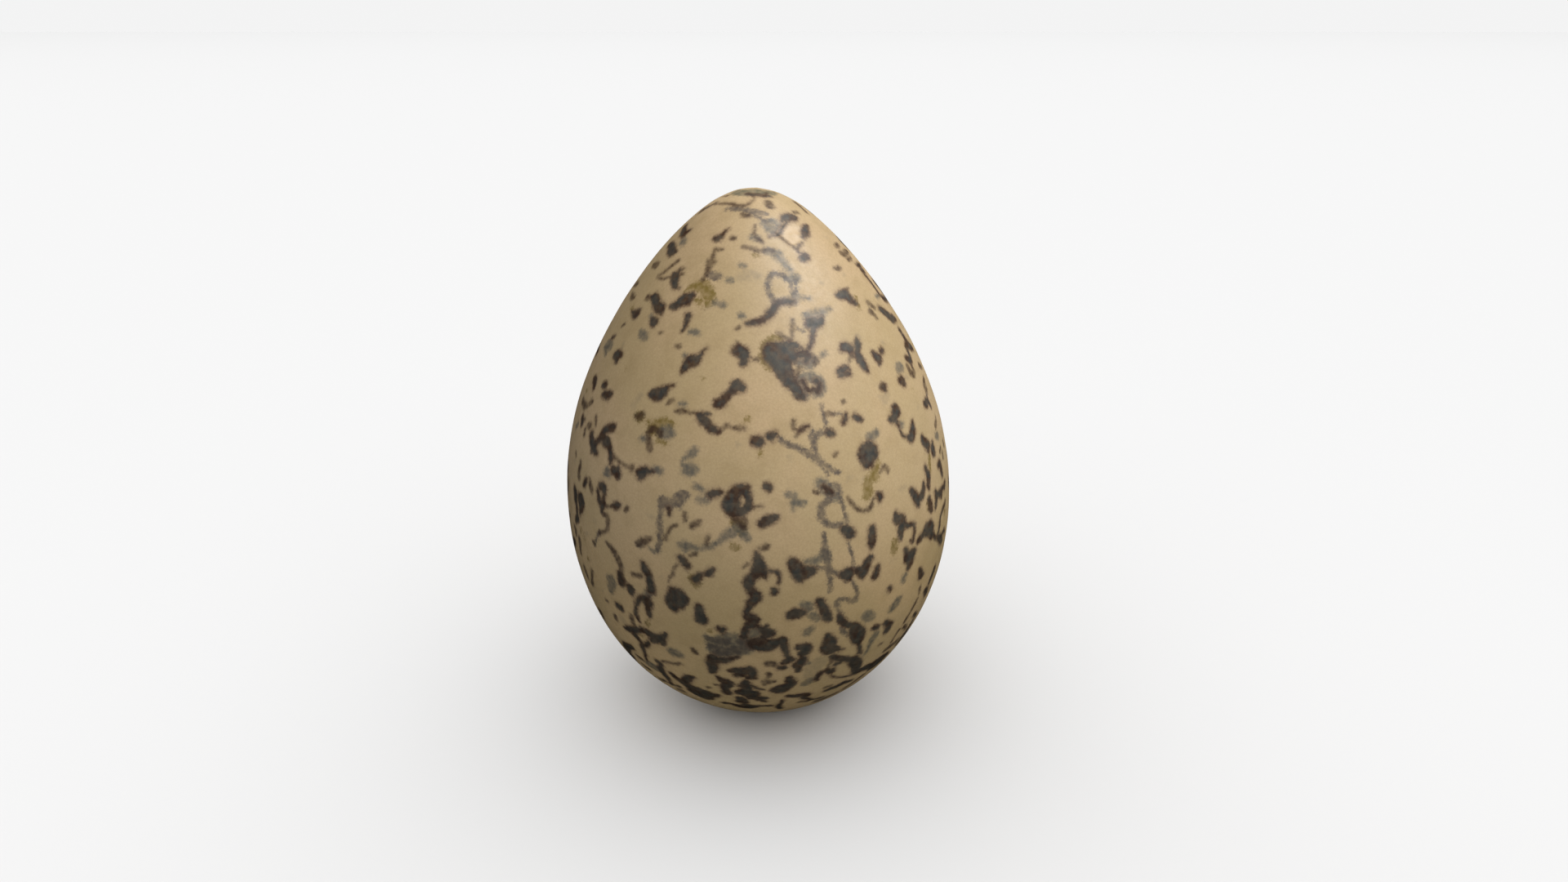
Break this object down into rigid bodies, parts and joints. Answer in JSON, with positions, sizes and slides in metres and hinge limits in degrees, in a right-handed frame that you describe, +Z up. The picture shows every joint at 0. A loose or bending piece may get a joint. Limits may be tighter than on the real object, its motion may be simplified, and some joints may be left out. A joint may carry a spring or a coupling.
{
  "type": "oystercatcher egg",
  "caption": "Pear-shaped wader's egg that stands on its blunt end: a matt buff shell with dark brown blotches and scrawls over faint grey ones.",
  "frame": {"origin": "on the surface that the egg stands on, under the middle of its bounding box", "axes": "+Z up along the egg's length, from the blunt end to the pointed end; +Y away from the picture's camera; +X to its right"},
  "size_m": [0.04, 0.04, 0.0552],
  "materials": {
    "shell": "satin"
  },
  "bodies": {
    "root": {"egg": "shell"}
  },
  "joints": []
}
